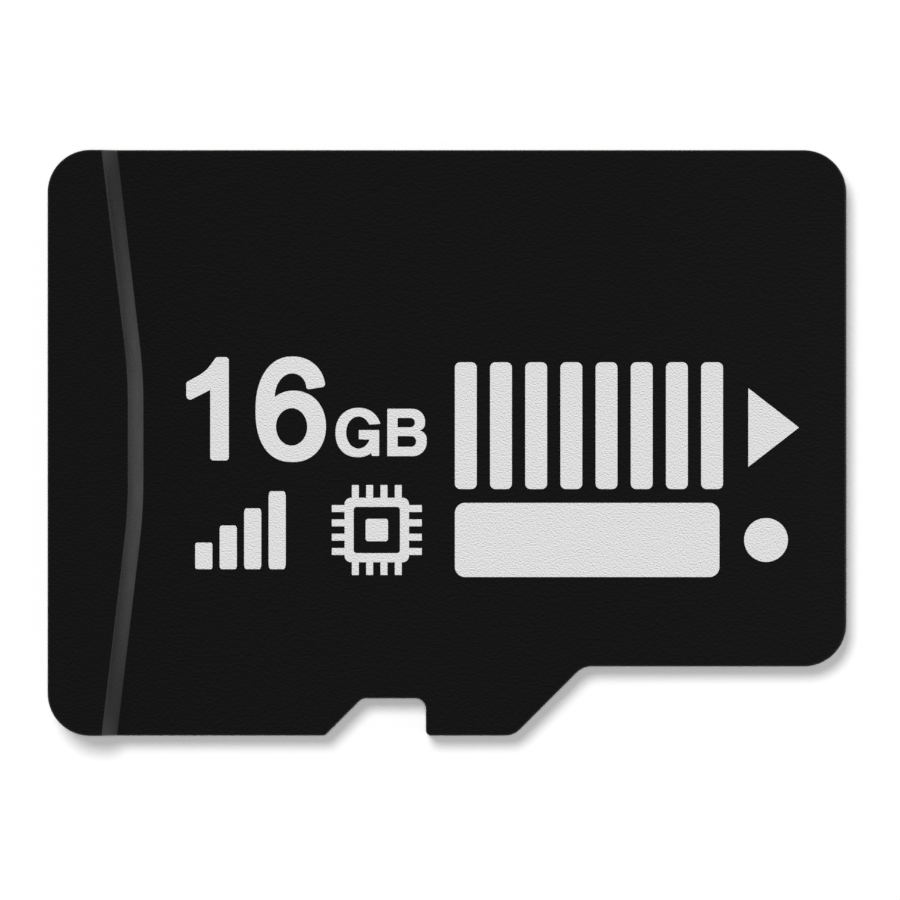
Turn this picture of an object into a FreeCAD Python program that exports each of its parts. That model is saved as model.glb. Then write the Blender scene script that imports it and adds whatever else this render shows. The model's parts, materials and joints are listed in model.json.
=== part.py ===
# A micro memory card: a thin black moulded card with a fingernail grip at its rear end, eight gold
# contacts on its back, and the stack of chips that the moulding seals in on a laminate board.
# Millimetres. +X points to the contact end, +Y to the plain long side, +Z out of the printed face.
# The origin is the middle of the outline, on the flat back that the card lies on.
import FreeCAD
import Part

import math
import os

from FreeCAD import Vector

# Outline, seen from the printed face
card_length = 15.0
card_width = 11.0
front_width = 9.7  # the contact end is narrower, by a shoulder on the notch side
corner_radius = 0.8
shoulder_from_front = 4.95  # straight edge of the narrow end, up to the shoulder's slope
shoulder_radius = 0.4
notch_from_front = 7.9  # the notch's upright wall, which the socket's catch holds
notch_floor_length = 1.2
notch_depth = 0.7
notch_inner_radius = 0.2
notch_outer_radius = 0.1
edge_slope_angle = 45.0  # of the shoulder and of the notch's slanting side

# Thickness, grip and edges
body_thickness = 0.7
grip_thickness = 1.0
grip_depth = 1.5  # rear end to the grip's crest, on the centre line
grip_slope_run = 0.3  # crest to foot of the grip's slanting face, seen from above
grip_bend_half = 1.28  # centre line to the bends at either end of the crest's straight middle
grip_bend_radius = 9.4
grip_run_angle = 6.7  # how far the crest turns back towards the rear at each bend
edge_radius = 0.05
lead_in_length = 0.45  # bevel under the contact end, which lifts the socket's springs
lead_in_height = 0.25

# Laminate board, which is the card's back
board_thickness = 0.2
board_edge_margin = 0.3  # bare board between a finger or capacitor and the card's edge

# Gold contacts, let into the back of the board
contact_names = (
    "contact_1_data_2",
    "contact_2_data_3",
    "contact_3_command",
    "contact_4_supply",
    "contact_5_clock",
    "contact_6_ground",
    "contact_7_data_0",
    "contact_8_data_1",
)
power_contacts = ("contact_4_supply", "contact_6_ground")  # longer, so that they touch first
contact_pitch = 1.1
contact_width = 0.8
contact_length = 2.9
contact_from_front = 1.1
power_contact_lead = 0.3
contact_corner_radius = 0.1
contact_thickness = 0.03
contact_recess = 0.02

# Chip stack: two memory dies, stepped to bare the lower one's bond pads, and the controller on top
die_thickness = 0.08
film_thickness = 0.02
die_step = 0.4
die_front_margin = 0.9
controller_length = 3.2
controller_width = 2.4
controller_thickness = 0.1
controller_from_die_rear = 3.0
controller_setback = 0.15  # from the long edge of the memory die below

# Bond fingers on the board, and the wires that reach them from the dies
finger_length = 0.3
finger_width = 0.12
finger_thickness = 0.02
finger_gap = 0.2  # from a die's edge to its fingers
memory_wire_count = 10
memory_wire_pitch = 0.6
controller_wire_count = 14
controller_wire_pitch = 0.2
wire_diameter = 0.025
wire_sides = 6  # flats round a wire, enough at this size
wire_loop_height = 0.06
wire_pad_inset = 0.1  # bond pads, in from a die's edge
wire_edge_clearance = 0.04
wire_stitch_length = 0.06  # flattened end that lies on the finger
wire_spacing = 0.06  # between a wire's end and the next wire's start on one bond pad

# Chip capacitors, in a row behind the memory dies' fingers
capacitor_length = 0.6
capacitor_width = 0.3
capacitor_height = 0.3
capacitor_terminal_length = 0.15
capacitor_count = 3
capacitor_pitch = 1.6
capacitor_to_fingers = 0.35

# Places that follow from the sizes above
front = card_length / 2
rear = -card_length / 2
plain_side = card_width / 2
notch_side = -card_width / 2
front_centre = plain_side - front_width / 2
slope_ratio = 1 / math.tan(math.radians(edge_slope_angle))
cutter_overshoot = corner_radius  # how far a cutter runs past the card
rounded_share = 0.45  # most of a straight run that the rounding of one of its corners may take
tolerance = 1e-6

capacitor_rear = rear + board_edge_margin
memory_finger_rear = capacitor_rear + capacitor_width + capacitor_to_fingers
lower_die_rear = memory_finger_rear + finger_length + finger_gap
upper_die_rear = lower_die_rear + die_step
die_length = front - die_front_margin - upper_die_rear
die_width = front_width - 2 * (board_edge_margin + finger_length + finger_gap)
die_notch_edge = front_centre - die_width / 2

lower_die_bottom = board_thickness + film_thickness
lower_die_top = lower_die_bottom + die_thickness
upper_die_bottom = lower_die_top + film_thickness
upper_die_top = upper_die_bottom + die_thickness
controller_bottom = upper_die_top + film_thickness
controller_top = controller_bottom + controller_thickness
finger_top = board_thickness + finger_thickness

controller_rear = upper_die_rear + controller_from_die_rear
controller_notch_edge = die_notch_edge + controller_setback
controller_centre = controller_rear + controller_length / 2

up = Vector(0, 0, 1)
to_rear = Vector(-1, 0, 0)
to_notch_side = Vector(0, -1, 0)


def slab(rear_edge, length, centre, width, bottom, thickness):
    low = Vector(rear_edge, centre - width / 2, bottom)
    return Part.makeBox(length, width, thickness, low)


def rounded_wire(corners, z):
    # A closed outline through (x, y, radius) corners, each rounded by a tangent arc that leaves some of
    # the straight run on either side.
    points = [Vector(x, y, z) for x, y, radius in corners]
    arcs = []
    for index, (x, y, radius) in enumerate(corners):
        corner = points[index]
        back_run = points[index - 1] - corner
        ahead_run = points[(index + 1) % len(points)] - corner
        room = min(back_run.Length, ahead_run.Length) * rounded_share
        back = back_run.normalize()
        ahead = ahead_run.normalize()
        half_angle = back.getAngle(ahead) / 2
        tangent = min(radius / math.tan(half_angle), room)
        arc_radius = tangent * math.tan(half_angle)
        inward = (back + ahead).normalize()
        centre = corner + inward * (arc_radius / math.sin(half_angle))
        arcs.append((corner + back * tangent, centre - inward * arc_radius, corner + ahead * tangent))
    edges = []
    for index, (start, middle, end) in enumerate(arcs):
        if start.distanceToPoint(end) > 0:
            edges.append(Part.Arc(start, middle, end).toShape())
        edges.append(Part.LineSegment(end, arcs[(index + 1) % len(arcs)][0]).toShape())
    return Part.Wire(edges)


def prism(wire, direction):
    return Part.Face(wire).extrude(direction)


def card_outline(z):
    step = card_width - front_width
    notch_wall = front - notch_from_front
    notch_floor_rear = notch_wall - notch_floor_length
    notch_mouth_rear = notch_floor_rear - notch_depth * slope_ratio
    shoulder_inner = front - shoulder_from_front
    shoulder_outer = shoulder_inner - step * slope_ratio
    return rounded_wire(
        [
            (rear, notch_side, corner_radius),
            (notch_mouth_rear, notch_side, notch_outer_radius),
            (notch_floor_rear, notch_side + notch_depth, notch_inner_radius),
            (notch_wall, notch_side + notch_depth, notch_inner_radius),
            (notch_wall, notch_side, notch_outer_radius),
            (shoulder_outer, notch_side, shoulder_radius),
            (shoulder_inner, notch_side + step, shoulder_radius),
            (front, notch_side + step, corner_radius),
            (front, plain_side, corner_radius),
            (rear, plain_side, corner_radius),
        ],
        z,
    )


def step_cutter():
    # Everything above the card's face and ahead of the grip. The foot line, a straight middle that bends
    # into two runs, is pushed up and back along the slant to twice the grip's rise, so that the cutter's
    # rear wall is the grip's slanting face.
    rise = grip_thickness - body_thickness
    foot_middle = rear + grip_depth + grip_slope_run
    run_end = plain_side + cutter_overshoot
    run_back = foot_middle - (run_end - grip_bend_half) * math.tan(math.radians(grip_run_angle))
    beyond = front + cutter_overshoot
    outline = rounded_wire(
        [
            (beyond, -run_end, 0),
            (beyond, run_end, 0),
            (run_back, run_end, 0),
            (foot_middle, grip_bend_half, grip_bend_radius),
            (foot_middle, -grip_bend_half, grip_bend_radius),
            (run_back, -run_end, 0),
        ],
        body_thickness,
    )
    slant = Vector(-grip_slope_run, 0, rise)
    return prism(outline, slant * 2)


def lead_in_cutter():
    wedge = Part.makePolygon(
        [
            Vector(front - lead_in_length, notch_side, 0),
            Vector(front, notch_side, 0),
            Vector(front, notch_side, lead_in_height),
            Vector(front - lead_in_length, notch_side, 0),
        ]
    )
    return prism(wedge, Vector(0, card_width, 0))


def is_upright(face):
    return abs(face.normalAt(0, 0).z) < tolerance


def lowest(edge):
    return min(vertex.Z for vertex in edge.Vertexes)


def round_rims(body):
    # The mould leaves the printed face's rim, the grip's rim and the grip's crest slightly rounded.
    rims = {}
    for face in body.Faces:
        for edge in face.Edges:
            on_rim = is_upright(face) and lowest(edge) > body_thickness - tolerance
            on_grip = lowest(edge) > grip_thickness - tolerance
            if on_rim or on_grip:
                rims[edge.hashCode()] = edge
    return body.makeFillet(edge_radius, list(rims.values()))


def moulded_form():
    block = prism(card_outline(board_thickness), up * (grip_thickness - board_thickness))
    return round_rims(block.cut(step_cutter())).cut(lead_in_cutter())


def contact_corners(name, index):
    centre = front_centre + (index - (len(contact_names) - 1) / 2) * contact_pitch
    lead = power_contact_lead if name in power_contacts else 0
    ahead = front - contact_from_front + lead
    behind = front - contact_from_front - contact_length
    low = centre - contact_width / 2
    high = centre + contact_width / 2
    outline = ((behind, low), (ahead, low), (ahead, high), (behind, high))
    return [(x, y, contact_corner_radius) for x, y in outline]


def contacts():
    made = {}
    for index, name in enumerate(contact_names):
        wire = rounded_wire(contact_corners(name, index), contact_recess)
        made[name] = prism(wire, up * contact_thickness)
    return made


def board():
    plate = prism(card_outline(0), up * board_thickness).cut(lead_in_cutter())
    pockets = []
    for index, name in enumerate(contact_names):
        wire = rounded_wire(contact_corners(name, index), 0)
        pockets.append(prism(wire, up * (contact_recess + contact_thickness)))
    return plate.cut(pockets)


def chip_stack():
    def layer(rear_edge, bottom, thickness):
        return slab(rear_edge, die_length, front_centre, die_width, bottom, thickness)

    def controller_layer(bottom, thickness):
        centre = controller_notch_edge + controller_width / 2
        return slab(controller_rear, controller_length, centre, controller_width, bottom, thickness)

    return {
        "attach_film_lower": layer(lower_die_rear, board_thickness, film_thickness),
        "memory_die_lower": layer(lower_die_rear, lower_die_bottom, die_thickness),
        "attach_film_upper": layer(upper_die_rear, lower_die_top, film_thickness),
        "memory_die_upper": layer(upper_die_rear, upper_die_bottom, die_thickness),
        "attach_film_controller": controller_layer(upper_die_top, film_thickness),
        "controller_die": controller_layer(controller_bottom, controller_thickness),
    }


def row(count, pitch, centre):
    return [centre + (index - (count - 1) / 2) * pitch for index in range(count)]


def bond_wire(pad, out, clear_run, landing_run, landing_z):
    # Up from the bond pad, level until it is clear of the die's edge, down, and flat along its landing.
    half = wire_diameter / 2
    corner_reach = half / math.cos(math.pi / wire_sides)
    across = out.cross(up)
    top = pad + up * wire_loop_height
    foot_rise = up * (landing_z + half - pad.z)
    path = Part.makePolygon(
        [
            pad,
            top,
            top + out * clear_run,
            pad + foot_rise + out * (landing_run - wire_stitch_length),
            pad + foot_rise + out * landing_run,
        ]
    )
    ring = []
    for side in range(wire_sides + 1):
        turn = 2 * math.pi * side / wire_sides
        ring.append(pad + (across * math.cos(turn) + out * math.sin(turn)) * corner_reach)
    mitred = 1
    return path.makePipeShell([Part.makePolygon(ring)], True, False, mitred)


def memory_wires():
    lower = []
    upper = []
    lower_pad = lower_die_rear + wire_pad_inset
    upper_pad = upper_die_rear + wire_pad_inset
    for y in row(memory_wire_count, memory_wire_pitch, front_centre):
        lower.append(
            bond_wire(
                Vector(lower_pad, y, lower_die_top),
                to_rear,
                wire_pad_inset + wire_edge_clearance,
                wire_pad_inset + finger_gap + finger_length / 2 + wire_stitch_length,
                finger_top,
            )
        )
        upper.append(
            bond_wire(
                Vector(upper_pad, y, upper_die_top),
                to_rear,
                wire_pad_inset + wire_edge_clearance,
                upper_pad - lower_pad - wire_spacing,
                lower_die_top,
            )
        )
    return {
        "memory_wires_lower": Part.makeCompound(lower),
        "memory_wires_upper": Part.makeCompound(upper),
    }


def controller_wires():
    over_dies = wire_pad_inset + controller_setback
    wires = []
    for x in row(controller_wire_count, controller_wire_pitch, controller_centre):
        wires.append(
            bond_wire(
                Vector(x, controller_notch_edge + wire_pad_inset, controller_top),
                to_notch_side,
                over_dies + wire_edge_clearance,
                over_dies + finger_gap + finger_length / 2 + wire_stitch_length,
                finger_top,
            )
        )
    return {"controller_wires": Part.makeCompound(wires)}


def bond_fingers():
    def finger(rear_edge, length, centre, width):
        return slab(rear_edge, length, centre, width, board_thickness, finger_thickness)

    memory = []
    for y in row(memory_wire_count, memory_wire_pitch, front_centre):
        memory.append(finger(memory_finger_rear, finger_length, y, finger_width))
    controller = []
    controller_row = die_notch_edge - finger_gap - finger_length / 2
    for x in row(controller_wire_count, controller_wire_pitch, controller_centre):
        controller.append(finger(x - finger_width / 2, finger_width, controller_row, finger_length))
    return {
        "memory_bond_fingers": Part.makeCompound(memory),
        "controller_bond_fingers": Part.makeCompound(controller),
    }


def capacitor_block(centre, length):
    return slab(capacitor_rear, capacitor_width, centre, length, board_thickness, capacitor_height)


def capacitors():
    made = {}
    body_length = capacitor_length - 2 * capacitor_terminal_length
    offset = (body_length + capacitor_terminal_length) / 2
    for number, y in enumerate(row(capacitor_count, capacitor_pitch, front_centre), start=1):
        ends = [capacitor_block(y + side * offset, capacitor_terminal_length) for side in (-1, 1)]
        made[f"capacitor_body_{number}"] = capacitor_block(y, body_length)
        made[f"capacitor_terminals_{number}"] = Part.makeCompound(ends)
    return made


def build():
    sealed = {}
    sealed.update(chip_stack())
    sealed.update(bond_fingers())
    sealed.update(memory_wires())
    sealed.update(controller_wires())
    sealed.update(capacitors())
    inside = [solid for shape in sealed.values() for solid in shape.Solids]
    parts = {"moulded_body": moulded_form().cut(inside), "substrate_board": board()}
    parts.update(contacts())
    parts.update(sealed)
    return parts


def main():
    os.makedirs("parts", exist_ok=True)
    for name, shape in build().items():
        shape.exportStep(f"parts/{name}.step")
        print(name, len(shape.Solids), "solids, valid", shape.isValid(), "volume", round(shape.Volume, 5))


main()
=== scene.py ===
import json
import math

import bmesh
import bpy
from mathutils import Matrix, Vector


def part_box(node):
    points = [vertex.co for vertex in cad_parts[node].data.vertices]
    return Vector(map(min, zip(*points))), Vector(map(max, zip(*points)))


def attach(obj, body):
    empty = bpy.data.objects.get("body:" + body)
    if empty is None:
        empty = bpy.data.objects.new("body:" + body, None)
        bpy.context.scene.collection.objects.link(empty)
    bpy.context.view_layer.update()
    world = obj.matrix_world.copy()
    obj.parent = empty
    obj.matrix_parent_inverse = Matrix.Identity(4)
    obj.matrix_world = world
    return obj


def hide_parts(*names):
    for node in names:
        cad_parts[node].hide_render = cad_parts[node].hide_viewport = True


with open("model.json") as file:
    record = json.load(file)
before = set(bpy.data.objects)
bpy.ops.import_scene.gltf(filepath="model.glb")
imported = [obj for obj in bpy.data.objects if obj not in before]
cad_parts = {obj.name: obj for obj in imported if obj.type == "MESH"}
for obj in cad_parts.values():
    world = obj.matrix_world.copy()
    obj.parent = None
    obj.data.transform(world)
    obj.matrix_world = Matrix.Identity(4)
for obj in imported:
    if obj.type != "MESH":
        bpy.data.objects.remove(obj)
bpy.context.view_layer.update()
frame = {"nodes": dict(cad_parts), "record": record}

mm = 0.001
scene = bpy.context.scene
weld = 1e-7  # metres: vertices closer than this are one
sameX = 1e-6  # millimetres: points this near a cutting line lie on it
print("frame loaded:", len(frame["nodes"]), "nodes")


# Card outline and moulded skin, in millimetres and degrees
card = dict(
    frontWidth=9.7,
    cornerRadius=0.8,
    shoulderFromFront=4.95,
    shoulderRadius=0.4,
    notchFromFront=7.9,
    notchFloor=1.2,
    notchDepth=0.7,
    notchInnerRadius=0.2,
    notchOuterRadius=0.1,
    faceHeight=0.7,
    gripDepth=1.5,
    gripRun=0.3,
    gripBendHalf=1.28,
    gripBendRadius=9.4,
    gripRunAngle=6.7,
    rimRadius=0.05,
    footRadius=0.03,
    crestRadius=0.03,
    slopeDish=0.007,  # the slanting face is hollowed by this much
    leadInLength=0.45,
    leadInHeight=0.25,
    outlineStep=4,  # degrees of arc to a segment, and so on the crest and the foot
    crestStep=9,
    footStep=12,
    rimSteps=5,  # segments in all, and so on the slope and in a bend
    slopeSteps=5,
    bendSteps=10,
)
low, high = [Vector(corner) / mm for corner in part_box("moulded_body")]
rear, front = low.x, high.x
notchSide, plainSide = low.y, high.y
seatHeight, gripHeight = low.z, high.z


def arcPoints(start, end, step):
    count = max(2, math.ceil(abs(end - start) / math.radians(step)))
    return [start + (end - start) * index / count for index in range(count + 1)]


def roundedOutline(corners, step):
    # (point, outward normal) pairs, anticlockwise seen from above
    outline = []
    for index, (x, y, radius) in enumerate(corners):
        corner = Vector((x, y))
        back = (Vector(corners[index - 1][:2]) - corner).normalized()
        ahead = (Vector(corners[(index + 1) % len(corners)][:2]) - corner).normalized()
        half = back.angle(ahead) / 2
        inward = (back + ahead).normalized()
        centre = corner + inward * (radius / math.sin(half))
        side = 1 if back.cross(ahead) < 0 else -1  # 1 where the outline turns left
        spoke = corner + back * (radius / math.tan(half)) - centre
        first = math.atan2(spoke.y, spoke.x)
        for angle in arcPoints(first, first + side * (math.pi - 2 * half), step):
            ray = Vector((math.cos(angle), math.sin(angle)))
            outline.append((centre + ray * radius, ray * side))
    return outline


def splitAtX(outline, x):
    made = []
    for index, (point, normal) in enumerate(outline):
        nextPoint, nextNormal = outline[(index + 1) % len(outline)]
        made.append((point, normal))
        if (point.x - x) * (nextPoint.x - x) < 0:
            share = (x - point.x) / (nextPoint.x - point.x)
            made.append((point.lerp(nextPoint, share), normal.lerp(nextNormal, share).normalized()))
    return made


def cardCorners():
    step = (plainSide - notchSide) - card["frontWidth"]
    wall = front - card["notchFromFront"]
    floorRear = wall - card["notchFloor"]
    shoulder = front - card["shoulderFromFront"]
    depth = notchSide + card["notchDepth"]
    return [
        (rear, notchSide, card["cornerRadius"]),
        (floorRear - card["notchDepth"], notchSide, card["notchOuterRadius"]),
        (floorRear, depth, card["notchInnerRadius"]),
        (wall, depth, card["notchInnerRadius"]),
        (wall, notchSide, card["notchOuterRadius"]),
        (shoulder - step, notchSide, card["shoulderRadius"]),
        (shoulder, notchSide + step, card["shoulderRadius"]),
        (front, notchSide + step, card["cornerRadius"]),
        (front, plainSide, card["cornerRadius"]),
        (rear, plainSide, card["cornerRadius"]),
    ]


turn = math.radians(card["gripRunAngle"])
bendStart = card["gripBendHalf"] - card["gripBendRadius"] * math.tan(turn / 2)
bendEnd = bendStart + card["gripBendRadius"] * math.sin(turn)


def crestX(y):
    # the grip's crest: a straight middle, two bends, and runs that lean back to the rear
    middle = rear + card["gripDepth"]
    if abs(y) <= bendStart:
        return middle
    if abs(y) >= bendEnd:
        return middle - (abs(y) - card["gripBendHalf"]) * math.tan(turn)
    across = abs(y) - bendStart
    return middle - card["gripBendRadius"] + math.sqrt(card["gripBendRadius"] ** 2 - across ** 2)


def gripProfile():
    # rows of (distance ahead of the crest, height), and where the slanting face starts and ends
    faceTop, crest, foot = card["faceHeight"], card["crestRadius"], card["footRadius"]
    slope = math.atan2(gripHeight - faceTop, card["gripRun"])
    crestSpan, footSpan = crest * math.tan(slope / 2), foot * math.tan(slope / 2)
    footEnd = card["gripRun"] + footSpan

    def onFoot(angle):
        return footEnd - foot * math.sin(angle), faceTop + foot * (1 - math.cos(angle))

    rows = []
    for angle in arcPoints(0, slope, card["crestStep"]):
        rows.append((crest * math.sin(angle) - crestSpan, gripHeight - crest * (1 - math.cos(angle))))
    slopeStart = len(rows) - 1
    slopeTop, slopeFoot = Vector(rows[-1]), Vector(onFoot(slope))
    hollow = (slopeTop - slopeFoot).orthogonal().normalized() * card["slopeDish"]
    for index in range(1, card["slopeSteps"]):
        share = index / card["slopeSteps"]
        dish = hollow * 4 * share * (1 - share)  # a parabola, full at half way
        rows.append(tuple(slopeTop.lerp(slopeFoot, share) + dish))
    slopeEnd = len(rows)
    rows += [onFoot(angle) for angle in arcPoints(slope, 0, card["footStep"])]
    return rows, slopeStart, slopeEnd


def heightAt(ahead, rows):
    if ahead <= rows[0][0]:
        return rows[0][1]
    for (x, z), (nextX, nextZ) in zip(rows, rows[1:]):
        if ahead <= nextX:
            return z + (nextZ - z) * (ahead - x) / (nextX - x)
    return rows[-1][1]


def bridge(bm, lower, upper, material, closed=True):
    count = len(lower)
    made = []
    for index in range(count if closed else count - 1):
        after = (index + 1) % count
        face = bm.faces.new((lower[index], lower[after], upper[after], upper[index]))
        face.smooth = True
        face.material_index = material
        made.append(face)
    return made


def sealedPocket(bm, node, height):
    # the walls round the chips and wires, as the CAD moulding has them, open at the board
    inner = bmesh.new()
    inner.from_mesh(node.data)
    bmesh.ops.remove_doubles(inner, verts=inner.verts, dist=weld)
    seat = [face for face in inner.faces if all(abs(vert.co.z - height) < weld for vert in face.verts)]
    bmesh.ops.delete(inner, geom=seat, context="FACES")
    reach = min(vert.co.x for vert in inner.verts)
    skin = {vert for vert in inner.verts if vert.co.x < reach + weld}
    frontier = list(skin)  # grows over the outer skin, which is left behind
    while frontier:
        vert = frontier.pop()
        for link in vert.link_edges:
            other = link.other_vert(vert)
            if other not in skin:
                skin.add(other)
                frontier.append(other)
    copies = {vert: bm.verts.new(vert.co) for vert in inner.verts if vert not in skin}
    for face in inner.faces:
        if face.verts[0] in copies:
            bm.faces.new([copies[vert] for vert in face.verts])
    inner.free()


def mouldedSkin():
    bm = bmesh.new()
    rows, slopeStart, slopeEnd = gripProfile()
    rim = card["rimRadius"]
    sideCrest = crestX(plainSide - rim)
    bevelSlope = card["leadInHeight"] / card["leadInLength"]
    bevelStart = front - card["leadInLength"] + seatHeight / bevelSlope
    outline = roundedOutline(cardCorners(), card["outlineStep"])
    for x in [sideCrest + ahead for ahead, height in rows] + [bevelStart]:
        outline = splitAtX(outline, x)
    grained, polished, cut = range(3)  # the body's material slots

    def add(x, y, z):
        return bm.verts.new((x * mm, y * mm, z * mm))

    tops = [heightAt(point.x - sideCrest, rows) for point, normal in outline]
    bottom = []
    for point, normal in outline:
        bottom.append(add(point.x, point.y, seatHeight + max(0, point.x - bevelStart) * bevelSlope))
    rings = []
    for index in range(card["rimSteps"] + 1):
        angle = math.pi / 2 * index / card["rimSteps"]
        inset, drop = rim * (1 - math.cos(angle)), rim * (1 - math.sin(angle))
        ring = []
        for (point, normal), top in zip(outline, tops):
            spot = point - normal * inset
            ring.append(add(spot.x, spot.y, top - drop))
        rings.append(ring)
    bridge(bm, bottom, rings[0], cut)
    slopeFrom, slopeTo = [(sideCrest + rows[row][0]) * mm for row in (slopeStart, slopeEnd)]
    for lower, upper in zip(rings, rings[1:]):
        for face in bridge(bm, lower, upper, grained):
            if slopeFrom < face.calc_center_median().x < slopeTo:
                face.material_index = polished

    # the slanting face, row by row across the card
    count = len(outline)
    inRow = []
    for ahead, height in rows:
        onRow = [index for index in range(count) if abs(outline[index][0].x - sideCrest - ahead) < sameX]
        onRow.sort(key=lambda index: outline[index][0].y)
        inRow.append((onRow[0], onRow[-1]))
    steps = card["bendSteps"]
    bend = [bendStart + (bendEnd - bendStart) * index / steps for index in range(steps + 1)]
    stations = [-y for y in reversed(bend)] + bend
    lines = []
    for (ahead, height), (first, last) in zip(rows, inRow):
        line = [add(crestX(y) + ahead, y, height) for y in stations]
        lines.append([rings[-1][first]] + line + [rings[-1][last]])
    for row, (behind, ahead) in enumerate(zip(lines, lines[1:])):
        material = polished if slopeStart <= row < slopeEnd else grained
        bridge(bm, list(reversed(behind)), list(reversed(ahead)), material, closed=False)
    for line in (lines[slopeStart], lines[slopeEnd]):
        for here, there in zip(line, line[1:]):
            bm.edges.get((here, there)).smooth = False

    # flat tops of the grip and of the card, and the lead-in bevel under the contact end
    firstGrip, lastGrip = inRow[0]
    firstFace, lastFace = inRow[-1]
    bm.faces.new(rings[-1][lastGrip:] + rings[-1][:firstGrip] + lines[0][:-1])
    bm.faces.new(rings[-1][firstFace:lastFace + 1] + list(reversed(lines[-1][1:-1])))
    bevel = [index for index in range(count) if outline[index][0].x > bevelStart - sameX]
    bm.faces.new([bottom[index] for index in reversed(bevel)]).material_index = cut

    # the seat on the board, filled between the outline and the pocket's mouth
    sealedPocket(bm, frame["nodes"]["moulded_body"], seatHeight * mm)
    seatEdges = [edge for edge in bm.edges if edge.is_boundary]
    seat = bmesh.ops.triangle_fill(bm, use_beauty=True, edges=seatEdges, normal=(0, 0, -1))
    for face in seat["geom"]:
        if isinstance(face, bmesh.types.BMFace):
            face.material_index = cut
            if face.normal.z > 0:
                face.normal_flip()
    openEdges = sum(1 for edge in bm.edges if not edge.is_manifold)
    mesh = bpy.data.meshes.new("moulded_card")
    bm.to_mesh(mesh)
    bm.free()
    print("moulded skin:", len(mesh.polygons), "faces,", openEdges, "open edges")
    return mesh


def addPiece(name, mesh, replaces=None):
    piece = bpy.data.objects.new(name, mesh)
    scene.collection.objects.link(piece)
    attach(piece, "root")
    if replaces:
        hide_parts(replaces)
    return piece


# Node helpers for the finishes; scales are per millimetre and depths in millimetres
noiseRange = (0.3, 0.7)  # most of a noise's values lie between these
plainDetail, fineDetail, pebbleDetail = 2.0, 3.0, 1.0


def finish(name, **sockets):
    material = bpy.data.materials.new(name)
    material.use_nodes = True
    shader = material.node_tree.nodes["Principled BSDF"]
    for label, value in sockets.items():
        shader.inputs[label.replace("_", " ")].default_value = value
    return material, material.node_tree.nodes, material.node_tree.links, shader


def cardCoords(nodes, links, stretch=(1, 1, 1), shift=(0, 0, 0)):
    # object coordinates in millimetres: a stretch under 1 draws the pattern out along that axis
    coords = nodes.new("ShaderNodeTexCoord")
    mapping = nodes.new("ShaderNodeMapping")
    mapping.inputs["Scale"].default_value = [share / mm for share in stretch]
    mapping.inputs["Location"].default_value = shift
    links.new(coords.outputs["Object"], mapping.inputs["Vector"])
    return mapping.outputs["Vector"]


def noise(nodes, links, vector, scale, detail):
    texture = nodes.new("ShaderNodeTexNoise")
    texture.inputs["Scale"].default_value = scale
    texture.inputs["Detail"].default_value = detail
    links.new(vector, texture.inputs["Vector"])
    return texture.outputs["Fac"]


def spread(nodes, links, factor, fromRange, toRange):
    ranged = nodes.new("ShaderNodeMapRange")
    ranged.inputs["From Min"].default_value, ranged.inputs["From Max"].default_value = fromRange
    ranged.inputs["To Min"].default_value, ranged.inputs["To Max"].default_value = toRange
    links.new(factor, ranged.inputs["Value"])
    return ranged.outputs["Result"]


def tint(nodes, links, factor, dark, light):
    ramp = nodes.new("ShaderNodeMix")
    ramp.data_type = "RGBA"
    ramp.inputs["A"].default_value = (*dark, 1)
    ramp.inputs["B"].default_value = (*light, 1)
    links.new(factor, ramp.inputs["Factor"])
    return ramp.outputs["Result"]


def bump(nodes, links, shader, height, depth):
    relief = nodes.new("ShaderNodeBump")
    relief.inputs["Distance"].default_value = depth * mm
    links.new(height, relief.inputs["Height"])
    links.new(relief.outputs["Normal"], shader.inputs["Normal"])


def blendOf(nodes, links, a, b, share):
    mix = nodes.new("ShaderNodeMix")
    mix.inputs["Factor"].default_value = share
    links.new(a, mix.inputs["A"])
    links.new(b, mix.inputs["B"])
    return mix.outputs["Result"]


def grainAndPaintedShade(nodes, links, look):
    # fine pebbles, and painted shade: a tone that is paler on one side of each pebble and darker on the
    # other, as if lit from one side
    sides = []
    for side in (0, 1):
        shift = [shadeShift * stretch * side for shadeShift, stretch in zip(look["shadeShift"], look["stretch"])]
        vector = cardCoords(nodes, links, look["stretch"], shift)
        sides.append(noise(nodes, links, vector, look["grainScale"], pebbleDetail))
    slant = nodes.new("ShaderNodeMath")
    slant.operation = "SUBTRACT"
    links.new(sides[0], slant.inputs[0])
    links.new(sides[1], slant.inputs[1])
    paintedShadeRange = (-look["fullShadeSlant"], look["fullShadeSlant"])
    return sides[0], spread(nodes, links, slant.outputs["Value"], paintedShadeRange, (0, 1))


mouldLook = dict(
    dark=(0.0034, 0.0034, 0.0034),
    light=(0.0062, 0.0062, 0.0061),
    roughness=0.55,
    specular=0.3,
    stretch=(0.4, 0.8, 1),  # least along X, so that the grain runs along the card
    grainScale=34.0,
    shadeShift=(0, 0.034, 0),  # painted shade: from the shaded, dark side to the lit, pale side of a pebble
    fullShadeSlant=0.25,  # the steepest side, for the full painted shade
    grainDepth=0.004,
)


def grainedMould():
    material, nodes, links, shader = finish(
        "grained_mould",
        Roughness=mouldLook["roughness"],
        Specular_IOR_Level=mouldLook["specular"],
    )
    # painted shade: the colour is paler on one side of each pebble and darker on the other, as if lit from
    # one side; the grain's relief is a real bump
    grain, tone = grainAndPaintedShade(nodes, links, mouldLook)
    colour = tint(nodes, links, tone, mouldLook["dark"], mouldLook["light"])
    links.new(colour, shader.inputs["Base Color"])
    bump(nodes, links, shader, grain, mouldLook["grainDepth"])
    return material


slopeLook = dict(
    roughness=(0.29, 0.33),
    specular=0.5,
    stretch=(1, 0.3, 1),
    cloudScale=6.0,
    grainScale=30.0,
    grainDepth=0.0006,
)


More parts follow.
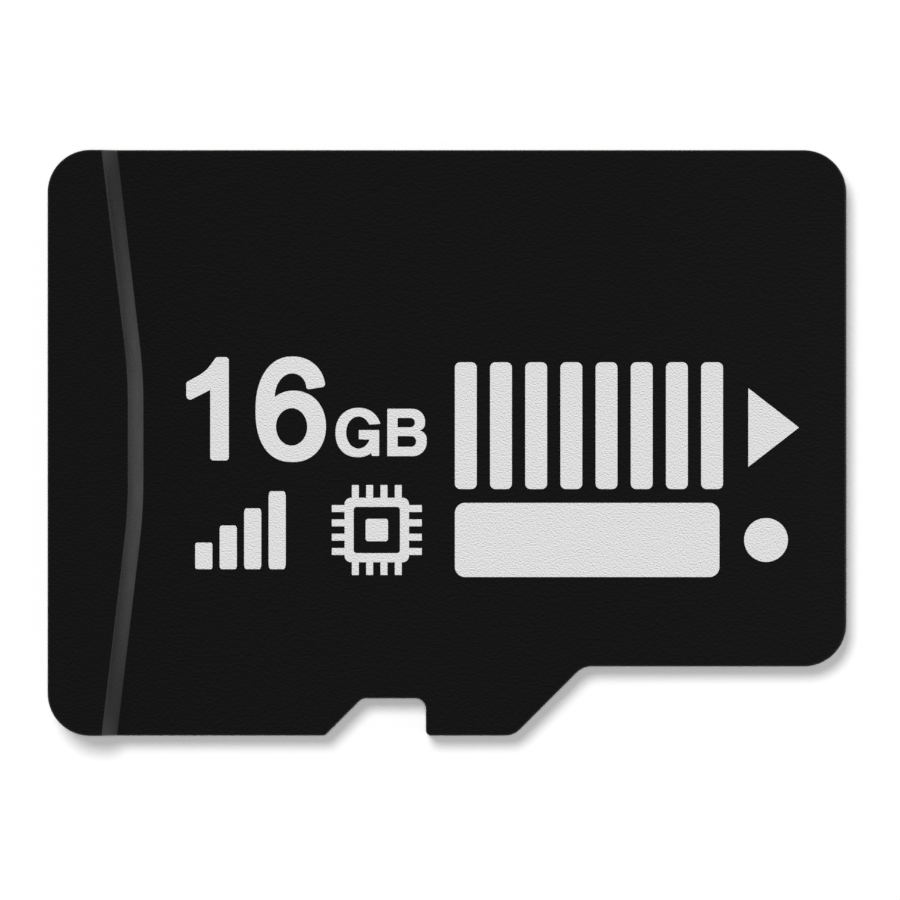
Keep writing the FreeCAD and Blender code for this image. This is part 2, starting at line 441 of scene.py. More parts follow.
def polishedMould():
    # the slanting face: the moulding's colours, smoother
    material, nodes, links, shader = finish("polished_mould", Specular_IOR_Level=slopeLook["specular"])
    vector = cardCoords(nodes, links, slopeLook["stretch"])
    cloud = noise(nodes, links, vector, slopeLook["cloudScale"], plainDetail)
    links.new(spread(nodes, links, cloud, noiseRange, slopeLook["roughness"]), shader.inputs["Roughness"])
    colour = tint(nodes, links, cloud, mouldLook["dark"], mouldLook["light"])
    links.new(colour, shader.inputs["Base Color"])
    grain = noise(nodes, links, vector, slopeLook["grainScale"], plainDetail)
    bump(nodes, links, shader, grain, slopeLook["grainDepth"])
    return material


sawnLook = dict(
    dark=(0.003, 0.003, 0.003),
    light=(0.009, 0.009, 0.0088),
    roughness=(0.5, 0.75),
    specular=0.3,
    stretch=(1, 1, 0.06),
    strokeScale=24.0,
    strokeDepth=0.006,
)


def cutMould():
    # the sawn edge: fine upright strokes
    material, nodes, links, shader = finish("cut_mould", Specular_IOR_Level=sawnLook["specular"])
    vector = cardCoords(nodes, links, sawnLook["stretch"])
    strokes = noise(nodes, links, vector, sawnLook["strokeScale"], fineDetail)
    links.new(spread(nodes, links, strokes, noiseRange, sawnLook["roughness"]), shader.inputs["Roughness"])
    colour = tint(nodes, links, strokes, sawnLook["dark"], sawnLook["light"])
    links.new(colour, shader.inputs["Base Color"])
    bump(nodes, links, shader, strokes, sawnLook["strokeDepth"])
    return material


body = addPiece("moulded_card", mouldedSkin(), "moulded_body")
for material in (grainedMould(), polishedMould(), cutMould()):
    body.data.materials.append(material)
print("moulded card dressed")


# White print, laid on the face: places in millimetres from the card's centre
ink = dict(
    thickness=0.008,
    dark=(0.417, 0.417, 0.417),
    light=(0.838, 0.838, 0.838),
    roughness=0.6,
    specular=0.2,
    stretch=(0.92, 0.95, 1),
    grainScale=38.0,
    # painted shade: from the shaded, dark side to the lit, pale side of a pebble
    shadeShift=(0.003, 0.016, 0),
    fullShadeSlant=0.252,
    shadePower=0.7,  # under 1, the painted shaded sides are fewer and darker
    grainDepth=0.003,
)
printShape = dict(
    arcStep=6,  # degrees of arc to a segment
    cornerStep=8,  # the same at the roundings of a letter
    barCornerSteps=8,
    sharpTurn=25,  # a turn of more degrees than this is a corner to soften
    softSteps=5,
    weld=1e-5,
)
printPlaces = dict(
    number=(-4.901, -2.277, -0.359, 1.623),  # left, right, lower, upper
    unit=(-2.098, -0.386, -0.269, 0.658),
    bars=(0.145, 5.181, -0.867, 1.514),
    panel=(0.145, 5.114, -2.520, -1.128),
    arrow=(5.657, 6.608, -0.450, 1.027),
    gauge=(-4.733, -3.033, -2.372, -0.908),
    chip=(-2.167, -0.477, -2.482, -0.792),
    dot=(5.578, 6.401, -2.236, -1.413),
)
faceHeight = card["faceHeight"] * mm


def whiteInk():
    # painted shade: the ink's colour is paler on one side of each pebble and darker on the other, as if
    # lit from one side
    material, nodes, links, shader = finish(
        "white_ink",
        Roughness=ink["roughness"],
        Specular_IOR_Level=ink["specular"],
    )
    grain, tone = grainAndPaintedShade(nodes, links, ink)
    shadePower = nodes.new("ShaderNodeMath")
    shadePower.operation = "POWER"
    shadePower.inputs[1].default_value = ink["shadePower"]
    links.new(tone, shadePower.inputs[0])
    colour = tint(nodes, links, shadePower.outputs["Value"], ink["dark"], ink["light"])
    links.new(colour, shader.inputs["Base Color"])
    bump(nodes, links, shader, grain, ink["grainDepth"])
    return material


inkMaterial = whiteInk()


def bakeMesh(source):
    graph = bpy.context.evaluated_depsgraph_get()
    mesh = bpy.data.meshes.new_from_object(source.evaluated_get(graph), depsgraph=graph)
    bpy.data.objects.remove(source)
    return mesh


def flatCurve(name, loops):
    curve = bpy.data.curves.new(name, "CURVE")
    curve.dimensions = "2D"
    for loop in loops:
        spline = curve.splines.new("POLY")
        spline.points.add(len(loop) - 1)
        for spot, (x, y) in zip(spline.points, loop):
            spot.co = (x, y, 0, 1)
        spline.use_cyclic_u = True
    curve.fill_mode = "BOTH"
    curve.extrude = 0.5  # brought to the ink's thickness in layInk
    return curve


def layInk(name, loops, place=None):
    # filled loops become a thin plate of ink on the face, fitted to a place where one is given
    source = bpy.data.objects.new(name, flatCurve(name, loops))
    scene.collection.objects.link(source)
    mesh = bakeMesh(source)
    mesh.name = name
    bm = bmesh.new()
    bm.from_mesh(mesh)
    bmesh.ops.remove_doubles(bm, verts=bm.verts, dist=printShape["weld"])
    lows = [min(vert.co[axis] for vert in bm.verts) for axis in range(3)]
    spans = [max(vert.co[axis] for vert in bm.verts) - lows[axis] for axis in range(3)]
    for vert in bm.verts:
        share = [(vert.co[axis] - lows[axis]) / spans[axis] for axis in range(3)]
        if place:
            left, right, lower, upper = place
            vert.co.x = (left + (right - left) * share[0]) * mm
            vert.co.y = (lower + (upper - lower) * share[1]) * mm
        else:
            vert.co.xy *= mm
        vert.co.z = faceHeight + share[2] * ink["thickness"] * mm
    bmesh.ops.recalc_face_normals(bm, faces=bm.faces)
    for face in bm.faces:
        face.smooth = False
    bm.to_mesh(mesh)
    bm.free()
    mesh.materials.clear()
    mesh.materials.append(inkMaterial)
    addPiece(name, mesh)


def rectangleLoop(place, radius):
    left, right, lower, upper = place
    corners = [(x, y, radius) for x, y in ((left, lower), (right, lower), (right, upper), (left, upper))]
    return [tuple(point) for point, normal in roundedOutline(corners, printShape["arcStep"])]


def ellipseArc(centre, radii, start, end, fullness=1):
    # a fullness over 1 squares the arc a little
    def reach(share):
        return math.copysign(abs(share) ** (1 / fullness), share)

    made = []
    for angle in arcPoints(math.radians(start), math.radians(end), printShape["arcStep"]):
        x = centre[0] + radii[0] * reach(math.cos(angle))
        y = centre[1] + radii[1] * reach(math.sin(angle))
        made.append(Vector((x, y)))
    return made


def ellipseLoop(centre, radii):
    return [tuple(point) for point in ellipseArc(centre, radii, 0, 360)[:-1]]


def roundedLoop(corners, scale, foot):
    outline = roundedOutline(corners, printShape["cornerStep"])
    return [(point.x * scale, point.y * scale + foot) for point, normal in outline]


def softened(loop, reach):
    # rounds each outward corner of an anticlockwise loop over a short reach either side of it
    points = [Vector(point) for point in loop]
    count = len(points)
    shares = [index / printShape["softSteps"] for index in range(printShape["softSteps"] + 1)]

    def isCorner(index):
        back, ahead = points[index] - points[index - 1], points[(index + 1) % count] - points[index]
        return back.cross(ahead) > 0 and back.angle(ahead, 0) > math.radians(printShape["sharpTurn"])

    def along(index, step):
        spare, here = reach, points[index]
        while True:
            index = (index + step) % count
            gap = (points[index] - here).length
            if gap >= spare:
                return here.lerp(points[index], spare / gap)
            spare, here = spare - gap, points[index]

    corners = [index for index in range(count) if isCorner(index)]
    made = []
    for index, point in enumerate(points):
        if index in corners:
            before, after = along(index, -1), along(index, 1)
            for share in shares:
                made.append(before.lerp(point, share).lerp(point.lerp(after, share), share))
        elif all((points[corner] - point).length > reach for corner in corners):
            made.append(point)
    return [tuple(point) for point in made]


# Numerals and letters are plain bold shapes of lines and arcs, in shares of the height of the tallest
numeral = dict(
    stem=0.179,  # share of the one's height
    oneHeight=0.979,
    oneFoot=0.0145,
    oneTop=0.29,  # where the flag's curve leaves the top
    oneFlag=0.232,  # from the flag's tip to the stem
    flagTop=0.757,
    flagFoot=0.565,
    flagRoot=0.684,
    flagRootRadius=0.002,
    flagBend=(0.64, 0.858),  # share of oneTop, and height
    flagCurve=0.34,
    cornerRadius=0.032,
    topSoftness=0.8,  # share of the corner radius, and so at the flag's foot
    footSoftness=1.2,
    sixAxis=0.3474,
    sixWaist=0.4917,
    sixHead=(0.315, 0.318),
    headStart=5,  # degrees, where the head leaves the lip
    headFullness=1.06,
    backFullness=1.1,
    baseFullness=1.17,
    sixBowl=(0.3044, 0.338),
    bowlShift=0.015,  # the bowl's middle stands ahead of the axis
    bowlEnd=123,
    bowlFullness=1.05,
    sixThroat=(0.1656, 0.226),
    throatTop=0.84,
    sixLip=(0.133, 0.137),
    lipEnd=-7,
    sixCounter=(0.1481, 0.178),
    counterMiddle=(-0.006, 0.3327),  # from the axis, and height
    softReach=0.034,
    gap=0.2532,
)


def oneLoops():
    stemLeft, stemRight = numeral["oneFlag"], numeral["oneFlag"] + numeral["stem"]
    top, radius = numeral["oneTop"], numeral["cornerRadius"]
    bendShare, bendHeight = numeral["flagBend"]
    corners = [
        (stemLeft, 0, radius),
        (stemRight, 0, radius),
        (stemRight, 1, radius),
        (top, 1, radius * numeral["topSoftness"]),
        (top * bendShare, bendHeight, numeral["flagCurve"]),
        (0, numeral["flagTop"], radius),
        (0, numeral["flagFoot"], radius * numeral["footSoftness"]),
        (stemLeft, numeral["flagRoot"], numeral["flagRootRadius"]),
    ]
    return [roundedLoop(corners, numeral["oneHeight"], numeral["oneFoot"])]


def sixLoops():
    axis, waist, top = numeral["sixAxis"], numeral["sixWaist"], numeral["throatTop"]
    head, bowl, throat, lip = [numeral[name] for name in ("sixHead", "sixBowl", "sixThroat", "sixLip")]
    middle, bowlMiddle = (axis, waist), (axis + numeral["bowlShift"], bowl[1])
    shiftX, counterY = numeral["counterMiddle"]
    # from the lip over the top, down the back, round the bowl, and up the throat to the lip
    outer = ellipseArc((axis, 1 - head[1]), head, numeral["headStart"], 90, numeral["headFullness"])
    outer += ellipseArc(middle, (axis, 1 - waist), 90, 180, numeral["backFullness"])[1:]
    outer += ellipseArc(middle, (axis, waist), 180, 270, numeral["baseFullness"])[1:]
    outer += ellipseArc(bowlMiddle, bowl, -90, numeral["bowlEnd"], numeral["bowlFullness"])
    outer += ellipseArc((axis, top - throat[1]), throat, 180, 90)
    outer += ellipseArc((axis, top - lip[1]), lip, 90, numeral["lipEnd"])[1:]
    counter = ellipseLoop((axis + shiftX, counterY), numeral["sixCounter"])
    return [softened(outer, numeral["softReach"]), counter]


letter = dict(
    gBow=(0.4644, 0.5),  # half sizes of the bow, and its middle too
    gFullness=(1.08, 1.13),  # above and below the middle
    gBowEnd=304,  # degrees, where the bow runs into the spur
    gHollow=(0.25, 0.326),
    gHollowStart=334,
    gWidth=0.881,
    gArm=0.661,
    gBar=(0.471, 0.366, 0.549),  # inner end, foot and top of the cross bar
    gSpur=(0.7356, 0.026),
    bHeight=0.958,
    bFoot=0.0225,
    bWidth=0.828,
    bWaist=0.54,
    bStem=0.216,
    bCorner=0.01,
    bLowerBowl=(0.045, 0.29, 0.18),  # drop below the waist, rounding at the foot and at the waist
    bUpperBowl=(0.055, 0.15, 0.27),  # rise above the waist, rounding at the waist and at the top
    bUpperShare=0.96,  # the upper bowl's width as a share of the lower's
    bNip=(0.82, 0.007),  # share of the width where the bowls meet, and its rounding
    bLowerHole=(0.606, 0.196, 0.424, 0.105),  # right side, foot, top, rounding
    bUpperHole=(0.58, 0.608, 0.808, 0.095),
    gap=0.144,
    softReach=0.012,
)


def gLoops():
    bow, hollow, right = letter["gBow"], letter["gHollow"], letter["gWidth"]
    upperFullness, lowerFullness = letter["gFullness"]
    barEnd, barFoot, barTop = letter["gBar"]
    spurX, spurY = letter["gSpur"]
    rise = letter["gArm"] - bow[1]
    armOuter, armInner = [math.degrees(math.asin(rise / half)) for half in (bow[1], hollow[1])]
    outer = ellipseArc(bow, bow, armOuter, 180, upperFullness)
    outer += ellipseArc(bow, bow, 180, 270, lowerFullness)[1:]
    outer += ellipseArc(bow, bow, 270, letter["gBowEnd"])[1:]
    outer += [(spurX, spurY), (right, spurY), (right, barTop), (barEnd, barTop), (barEnd, barFoot)]
    outer += ellipseArc(bow, hollow, letter["gHollowStart"], armInner)
    return [softened(outer, letter["softReach"])]


def bLoops():
    width, waist, stem, corner = [letter[name] for name in ("bWidth", "bWaist", "bStem", "bCorner")]
    drop, footRadius, lowerRadius = letter["bLowerBowl"]
    rise, upperRadius, topRadius = letter["bUpperBowl"]
    upperWidth = width * letter["bUpperShare"]
    nipShare, nipRadius = letter["bNip"]
    shapes = [[
        (0, 0, corner),
        (width, 0, footRadius),
        (width, waist - drop, lowerRadius),
        (width * nipShare, waist, nipRadius),
        (upperWidth, waist + rise, upperRadius),
        (upperWidth, 1, topRadius),
        (0, 1, corner),
    ]]
    for right, foot, top, radius in (letter["bLowerHole"], letter["bUpperHole"]):
        hole = [(stem, foot, corner), (right, foot, radius), (right, top, radius), (stem, top, corner)]
        shapes.append(hole)
    return [roundedLoop(shape, letter["bHeight"], letter["bFoot"]) for shape in shapes]


def setLetters(name, letters, place, gap):
    # letters side by side, then fitted to their place
    loops, pen = [], 0
    for shape in letters:
        widest = max(x for loop in shape for x, y in loop)
        loops += [[(x + pen, y) for x, y in loop] for loop in shape]
        pen += widest + gap
    layInk(name, loops, place)


def arrowLoop(place):
    left, right, lower, upper = place
    return [(left, lower), (right, (lower + upper) / 2), (left, upper)]


def dotLoop(place):
    left, right, lower, upper = place
    radius = (right - left) / 2
    return ellipseLoop((left + radius, lower + radius), (radius, radius))


panelRadius = 0.19
setLetters("capacity_number", [oneLoops(), sixLoops()], printPlaces["number"], numeral["gap"])
setLetters("capacity_unit", [gLoops(), bLoops()], printPlaces["unit"], letter["gap"])
layInk("write_on_panel", [rectangleLoop(printPlaces["panel"], panelRadius)])
layInk("insert_arrow", [arrowLoop(printPlaces["arrow"])])
layInk("index_dot", [dotLoop(printPlaces["dot"])])
print("printed plates laid")


# Bars of ink that repeat: one tree lays a row of rounded bars, each longer than the last by a set share
def inkBarTree():
    tree = bpy.data.node_groups.new("ink_bar_row", "GeometryNodeTree")
    nodes, links = tree.nodes, tree.links
    tree.interface.new_socket("Geometry", in_out="OUTPUT", socket_type="NodeSocketGeometry")
    for label, kind in (
        ("Count", "NodeSocketInt"),
        ("Start", "NodeSocketVector"),
        ("Step", "NodeSocketVector"),
        ("Bar Width", "NodeSocketFloat"),
        ("Bar Length", "NodeSocketFloat"),
        ("Longer Share", "NodeSocketFloat"),
        ("Corner Radius", "NodeSocketFloat"),
        ("Ink Thickness", "NodeSocketFloat"),
        ("Ink", "NodeSocketMaterial"),
    ):
        tree.interface.new_socket(label, in_out="INPUT", socket_type=kind)
    entry = nodes.new("NodeGroupInput").outputs

    def node(kind, mode=None, **values):
        made = nodes.new(kind)
        if mode:
            made.mode = mode
        for label, value in values.items():
            socket = made.inputs[label.replace("_", " ")]
            if isinstance(value, bpy.types.NodeSocket):
                links.new(value, socket)
            else:
                socket.default_value = value
        return made

    points = node(
        "GeometryNodeMeshLine",
        Count=entry["Count"],
        Start_Location=entry["Start"],
        Offset=entry["Step"],
    )
    outline = node(
        "GeometryNodeCurvePrimitiveQuadrilateral",
        Width=entry["Bar Width"],
        Height=entry["Bar Length"],
    )
    rounded = node(
        "GeometryNodeFilletCurve",
        "POLY",
        Curve=outline.outputs["Curve"],
        Radius=entry["Corner Radius"],
        Count=printShape["barCornerSteps"],
        Limit_Radius=True,
    )
    # each bar stands on its point, so it is lifted by half its length
    rise = node("ShaderNodeMath", Value=entry["Bar Length"])
    rise.operation = "MULTIPLY"
    rise.inputs[1].default_value = 0.5
    lift = node("ShaderNodeCombineXYZ", Y=rise.outputs["Value"])
    stood = node(
        "GeometryNodeTransform",
        Geometry=rounded.outputs["Curve"],
        Translation=lift.outputs["Vector"],
    )
    filled = node("GeometryNodeFillCurve", "NGONS", Curve=stood.outputs["Geometry"])
    under = node("GeometryNodeFlipFaces", Mesh=filled.outputs["Mesh"])
    over = node(
        "GeometryNodeExtrudeMesh",
        Mesh=filled.outputs["Mesh"],
        Offset_Scale=entry["Ink Thickness"],
    )
    both = node("GeometryNodeJoinGeometry")
    links.new(under.outputs["Mesh"], both.inputs["Geometry"])
    links.new(over.outputs["Mesh"], both.inputs["Geometry"])
    bar = node("GeometryNodeMergeByDistance", Geometry=both.outputs["Geometry"], Distance=weld)
    # a bar is stretched by 1 plus its number times the longer share
    longer = node("ShaderNodeMath", Value=nodes.new("GeometryNodeInputIndex").outputs["Index"])
    longer.operation = "MULTIPLY_ADD"
    links.new(entry["Longer Share"], longer.inputs[1])
    longer.inputs[2].default_value = 1
    scale = node("ShaderNodeCombineXYZ", X=1, Y=longer.outputs["Value"], Z=1)
    placed = node(
        "GeometryNodeInstanceOnPoints",
        Points=points.outputs["Mesh"],
        Instance=bar.outputs["Geometry"],
        Scale=scale.outputs["Vector"],
    )
    real = node("GeometryNodeRealizeInstances", Geometry=placed.outputs["Instances"])
    inked = node("GeometryNodeSetMaterial", Geometry=real.outputs["Geometry"], Material=entry["Ink"])
    links.new(inked.outputs["Geometry"], nodes.new("NodeGroupOutput").inputs["Geometry"])
    return tree


barTree = inkBarTree()
barInputs = [item for item in barTree.interface.items_tree if item.in_out == "INPUT"]
barSocket = {item.name: item.identifier for item in barInputs}


def layBars(name, count, start, step, size, longer, radius):
    source = bpy.data.objects.new(name, bpy.data.meshes.new(name))
    scene.collection.objects.link(source)
    row = source.modifiers.new("ink bars", "NODES")
    row.node_group = barTree
    row[barSocket["Count"]] = count
    row[barSocket["Start"]] = (start[0] * mm, start[1] * mm, faceHeight)
    row[barSocket["Step"]] = (step[0] * mm, step[1] * mm, 0)
    row[barSocket["Bar Width"]] = size[0] * mm
    row[barSocket["Bar Length"]] = size[1] * mm
    row[barSocket["Longer Share"]] = longer
    row[barSocket["Corner Radius"]] = radius * mm
    row[barSocket["Ink Thickness"]] = ink["thickness"] * mm
    row[barSocket["Ink"]] = inkMaterial
    addPiece(name, bakeMesh(source))


contactMark = dict(count=8, widthShare=0.62, firstShare=1, radius=0.1)
gaugeMark = dict(count=4, widthShare=0.7, firstShare=0.34, radius=0.04)


def uprightBars(name, place, mark):
    # bars across the whole place: the last has its full height, the first a share of it
    left, right, lower, upper = place
    pitch = (right - left) / (mark["count"] - 1 + mark["widthShare"])
    width = pitch * mark["widthShare"]
    first = (upper - lower) * mark["firstShare"]
    longer = (1 / mark["firstShare"] - 1) / (mark["count"] - 1)
    start = (left + width / 2, lower)
    layBars(name, mark["count"], start, (pitch, 0), (width, first), longer, mark["radius"])


chipMark = dict(
    radius=0.12,
    frame=0.17,
    holeRadius=0.06,
    core=0.42,
    coreRadius=0.05,
    pins=4,  # on each side
    pinLength=0.24,
    pinWidth=0.13,
    pinRadius=0.01,
    sparePitch=0.5,  # a side is a pitch long for each pin, and this part of one more
)


def chipSign(place):
    # a square frame with a solid middle, and pins on its four sides
    left, right, lower, upper = place
    centreX, centreY = (left + right) / 2, (lower + upper) / 2
    pins, pinLong, pinWide = chipMark["pins"], chipMark["pinLength"], chipMark["pinWidth"]
    half = (right - left) / 2 - pinLong

    def square(reach, radius):
        return rectangleLoop((centreX - reach, centreX + reach, centreY - reach, centreY + reach), radius)

    layInk("chip_sign", [
        square(half, chipMark["radius"]),
        square(half - chipMark["frame"], chipMark["holeRadius"]),
        square(chipMark["core"] / 2, chipMark["coreRadius"]),
    ])
    pitch = 2 * half / (pins + chipMark["sparePitch"])
    firstPin = -pitch * (pins - 1) / 2
    alongX, alongY = centreX + firstPin, centreY + firstPin - pinWide / 2
    upright, level = (pinWide, pinLong), (pinLong, pinWide)
    for name, start, step, size in (
        ("chip_pins_lower", (alongX, centreY - half - pinLong), (pitch, 0), upright),
        ("chip_pins_upper", (alongX, centreY + half), (pitch, 0), upright),
        ("chip_pins_rear", (centreX - half - pinLong / 2, alongY), (0, pitch), level),
        ("chip_pins_front", (centreX + half + pinLong / 2, alongY), (0, pitch), level),
    ):
        layBars(name, pins, start, step, size, 0, chipMark["pinRadius"])


uprightBars("contact_bars", printPlaces["bars"], contactMark)
uprightBars("level_gauge", printPlaces["gauge"], gaugeMark)
chipSign(printPlaces["chip"])
print("repeated marks laid")


# Board, contacts and the sealed pieces keep their CAD solids and get their finishes here
maskLook = dict(
    dark=(0.006, 0.0065, 0.0065),
    light=(0.011, 0.0115, 0.011),
    fibreDark=(0.012, 0.009, 0.005),
    fibreLight=(0.05, 0.038, 0.02),
    edgeTilt=(0.2, 0.35),  # upward share of the normal: all edge under the first, none over the second
    roughness=(0.36, 0.7),  # on the mask and on the edge
    specular=0.5,
    fineScale=9.0,
    fineShare=0.3,  # of the relief, beside the weave
    layerStretch=(0.4, 0.4, 9),
    layerScale=6.0,
    weaveScale=0.9,
    weaveDistortion=0.6,
    depth=0.002,
)


def solderMask():
    # satin black mask over woven laminate: weave relief on the back, brown layered edge at the sides
    material, nodes, links, shader = finish("solder_mask", Specular_IOR_Level=maskLook["specular"])
    vector = cardCoords(nodes, links)
    fine = noise(nodes, links, vector, maskLook["fineScale"], fineDetail)
    geometry = nodes.new("ShaderNodeNewGeometry")
    split = nodes.new("ShaderNodeSeparateXYZ")
    links.new(geometry.outputs["Normal"], split.inputs["Vector"])
    upright = nodes.new("ShaderNodeMath")
    upright.operation = "ABSOLUTE"
    links.new(split.outputs["Z"], upright.inputs[0])
    onEdge = spread(nodes, links, upright.outputs["Value"], maskLook["edgeTilt"], (1, 0))
    mask = tint(nodes, links, fine, maskLook["dark"], maskLook["light"])
    layerVector = cardCoords(nodes, links, maskLook["layerStretch"])
    layers = noise(nodes, links, layerVector, maskLook["layerScale"], fineDetail)
    fibre = tint(nodes, links, layers, maskLook["fibreDark"], maskLook["fibreLight"])
    both = nodes.new("ShaderNodeMix")
    both.data_type = "RGBA"
    links.new(onEdge, both.inputs["Factor"])
    links.new(mask, both.inputs["A"])
    links.new(fibre, both.inputs["B"])
    links.new(both.outputs["Result"], shader.inputs["Base Color"])
    links.new(spread(nodes, links, onEdge, (0, 1), maskLook["roughness"]), shader.inputs["Roughness"])
    weave = []
    for axis in ("X", "Y"):
        wave = nodes.new("ShaderNodeTexWave")
        wave.bands_direction = axis
        wave.inputs["Scale"].default_value = maskLook["weaveScale"]
        wave.inputs["Distortion"].default_value = maskLook["weaveDistortion"]
        links.new(vector, wave.inputs["Vector"])
        weave.append(wave.outputs["Fac"])
    woven = blendOf(nodes, links, weave[0], weave[1], 0.5)
    relief = blendOf(nodes, links, woven, fine, maskLook["fineShare"])
    bump(nodes, links, shader, relief, maskLook["depth"])
    return material


goldLook = dict(
    dark=(0.78, 0.5, 0.16),
    light=(0.92, 0.66, 0.28),
    roughness=(0.18, 0.4),
    wipeStretch=(0.05, 1, 1),
    wipeScale=22.0,
    wipeShare=0.4,  # of the relief, beside the pits
    pitScale=14.0,
    depth=0.0012,
)


def platedGold():
    # gold plate with the fine pits of plating and faint wipe marks along the card
    material, nodes, links, shader = finish("plated_gold", Metallic=1.0)
    wipeVector = cardCoords(nodes, links, goldLook["wipeStretch"])
    wipes = noise(nodes, links, wipeVector, goldLook["wipeScale"], fineDetail)
    pits = noise(nodes, links, cardCoords(nodes, links), goldLook["pitScale"], plainDetail)
    links.new(tint(nodes, links, pits, goldLook["dark"], goldLook["light"]), shader.inputs["Base Color"])
    links.new(spread(nodes, links, wipes, noiseRange, goldLook["roughness"]), shader.inputs["Roughness"])
    relief = blendOf(nodes, links, pits, wipes, goldLook["wipeShare"])
    bump(nodes, links, shader, relief, goldLook["depth"])
    return material


cloudSwing = 0.15  # an inner finish's roughness varies by this share either way
wireLook = dict(
    dark=(0.85, 0.58, 0.2),
    light=(0.95, 0.7, 0.32),
    metallic=1.0,
    roughness=0.25,
    scale=30,
    depth=0.0005,
)
siliconLook = dict(
    dark=(0.09, 0.1, 0.13),
    light=(0.15, 0.16, 0.2),
    metallic=0.6,
    roughness=0.18,
    scale=8,
    depth=0.0003,
)
filmLook = dict(
    dark=(0.55, 0.38, 0.12),
    light=(0.7, 0.52, 0.2),
    metallic=0.0,
    roughness=0.5,
    scale=5,
    depth=0.001,
)
ceramicLook = dict(
    dark=(0.4, 0.29, 0.18),
    light=(0.52, 0.4, 0.27),
    metallic=0.0,
    roughness=0.6,
    scale=25,
    depth=0.002,
)
tinLook = dict(
    dark=(0.6, 0.6, 0.59),
    light=(0.75, 0.75, 0.74),
    metallic=1.0,
    roughness=0.42,
    scale=20,
    depth=0.002,
)


def clouded(name, look):
    # a plain inner finish: two close tones and a fine relief
    material, nodes, links, shader = finish(name, Metallic=look["metallic"])
    cloud = noise(nodes, links, cardCoords(nodes, links), look["scale"], fineDetail)
    links.new(tint(nodes, links, cloud, look["dark"], look["light"]), shader.inputs["Base Color"])
    roughness = (look["roughness"] * (1 - cloudSwing), look["roughness"] * (1 + cloudSwing))
    links.new(spread(nodes, links, cloud, noiseRange, roughness), shader.inputs["Roughness"])
    bump(nodes, links, shader, cloud, look["depth"])
    return material


slotFinish = dict(
    solder_mask=solderMask(),
    contact_gold=platedGold(),
    bond_gold=clouded("drawn_gold", wireLook),
    silicon=clouded("silicon_die", siliconLook),
    attach_film=clouded("attach_film", filmLook),
    capacitor_ceramic=clouded("fired_ceramic", ceramicLook),
    terminal_tin=clouded("dull_tin", tinLook),
)
for part in frame["record"]["subparts"]:
    if part["material_slot"] in slotFinish:
        frame["nodes"][part["node"]].material_slots[0].material = slotFinish[part["material_slot"]]
print("board, contacts and sealed pieces finished")


# Floor, light and camera
floorLook = dict(half=0.6, gap=0.000002, tone=0.97, roughness=0.9, specular=0.0)  # sizes in metres


def floorPlane():
    half, z = floorLook["half"], -floorLook["gap"]
    mesh = bpy.data.meshes.new("floor")
    corners = [(-half, -half, z), (half, -half, z), (half, half, z), (-half, half, z)]
    mesh.from_pydata(corners, [], [(0, 1, 2, 3)])
    material, nodes, links, shader = finish(
        "white_floor",
        Base_Color=[floorLook["tone"]] * 3 + [1],
        Roughness=floorLook["roughness"],
        Specular_IOR_Level=floorLook["specular"],
    )
    mesh.materials.append(material)
    floor = bpy.data.objects.new("floor", mesh)
    scene.collection.objects.link(floor)


skyLook = dict(horizon=0.6, zenith=0.1, fade=(0.05, 0.5))  # two strengths, and the heights between them


def studioWorld():
    # pale at the horizon, dim overhead
    world = bpy.data.worlds.new("studio")
    world.use_nodes = True
    nodes, links = world.node_tree.nodes, world.node_tree.links
    coords = nodes.new("ShaderNodeTexCoord")
    split = nodes.new("ShaderNodeSeparateXYZ")
    links.new(coords.outputs["Generated"], split.inputs["Vector"])
    strengths = (skyLook["horizon"], skyLook["zenith"])
    level = spread(nodes, links, split.outputs["Z"], skyLook["fade"], strengths)
    links.new(level, nodes["Background"].inputs["Strength"])
    nodes["Background"].inputs["Color"].default_value = (1, 1, 1, 1)
    scene.world = world


# share is the part of full white that a lamp gives a level surface, spread its width in degrees
keyLight = dict(toLight=(-0.2, 0.345, 1), share=0.555, spread=20)
topLight = dict(toLight=(0, 0, 1), share=0.375, spread=8)


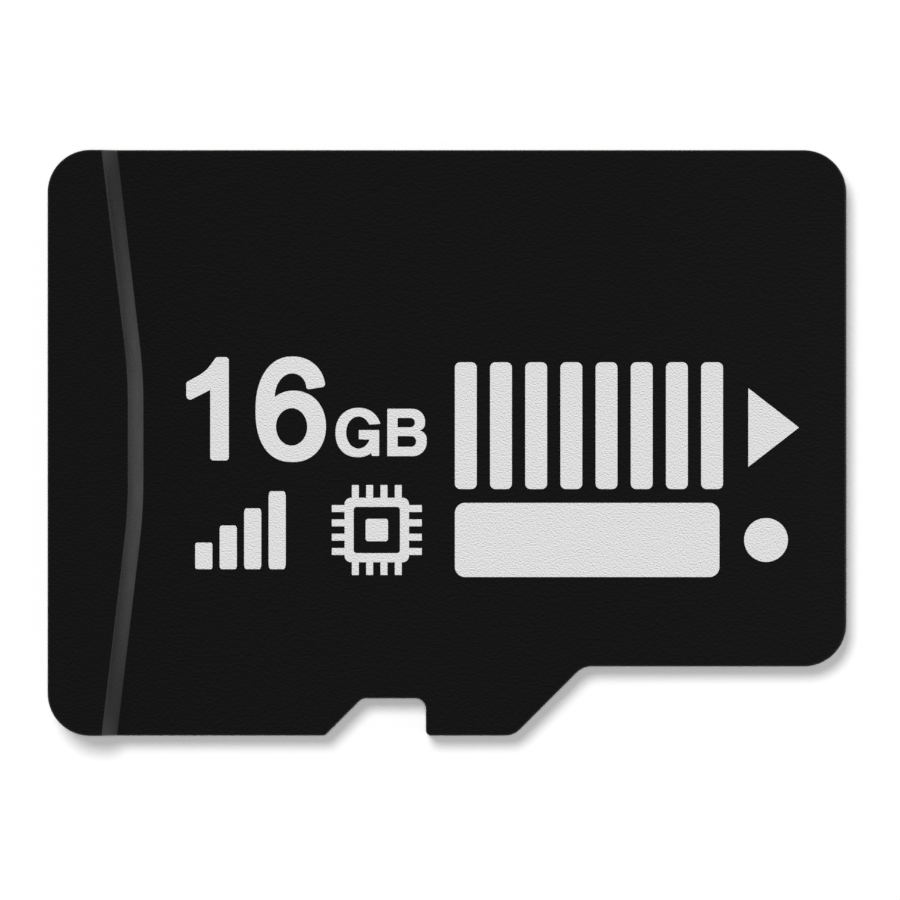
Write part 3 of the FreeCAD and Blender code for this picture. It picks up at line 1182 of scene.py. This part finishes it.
def sunLamp(name, look):
    toLight = Vector(look["toLight"]).normalized()
    lamp = bpy.data.lights.new(name, "SUN")
    lamp.energy = math.pi * look["share"] / toLight.z
    lamp.angle = math.radians(look["spread"])
    sun = bpy.data.objects.new(name, lamp)
    sun.visible_glossy = False  # as through a polariser: no glare on the black face
    sun.rotation_mode = "QUATERNION"
    sun.rotation_quaternion = (-toLight).to_track_quat("-Z", "Y")
    scene.collection.objects.link(sun)


gripLight = dict(x=16, height=5, width=13.4, radiance=2.0)  # sizes in millimetres


def gripLamp():
    # a low softbox past the contact end, which the grip's slanting face reflects
    lamp = bpy.data.lights.new("grip_softbox", "AREA")
    lamp.shape = "RECTANGLE"
    lamp.size, lamp.size_y = gripLight["width"] * mm, gripLight["height"] * mm
    lamp.energy = gripLight["radiance"] * math.pi * lamp.size * lamp.size_y
    box = bpy.data.objects.new("grip_softbox", lamp)
    box.location = (gripLight["x"] * mm, 0, gripLight["height"] / 2 * mm)
    box.rotation_mode = "QUATERNION"
    box.rotation_quaternion = Vector((-1, 0, 0)).to_track_quat("-Z", "Y")
    box.visible_camera = False
    scene.collection.objects.link(box)
    lit = bpy.data.collections.new("lit by the softbox")
    lit.objects.link(body)
    box.light_linking.receiver_collection = lit


cameraView = dict(
    lens=600,
    sensor=36,
    frameWidth=16.907,  # millimetres across the picture, at the card's face
    aimX=0.053,
    aimY=-0.134,
    clip=(0.001, 2),  # metres
)


def photoCamera():
    data = bpy.data.cameras.new("camera")
    data.lens, data.sensor_width = cameraView["lens"], cameraView["sensor"]
    data.clip_start, data.clip_end = cameraView["clip"]
    away = data.lens / data.sensor_width * cameraView["frameWidth"]
    height = card["faceHeight"] + away
    camera = bpy.data.objects.new("camera", data)
    camera.location = (cameraView["aimX"] * mm, cameraView["aimY"] * mm, height * mm)
    scene.collection.objects.link(camera)
    scene.camera = camera


floorPlane()
studioWorld()
sunLamp("key", keyLight)
sunLamp("top", topLight)
gripLamp()
photoCamera()
scene.view_settings.view_transform = "Standard"
print("floor, light and camera set")
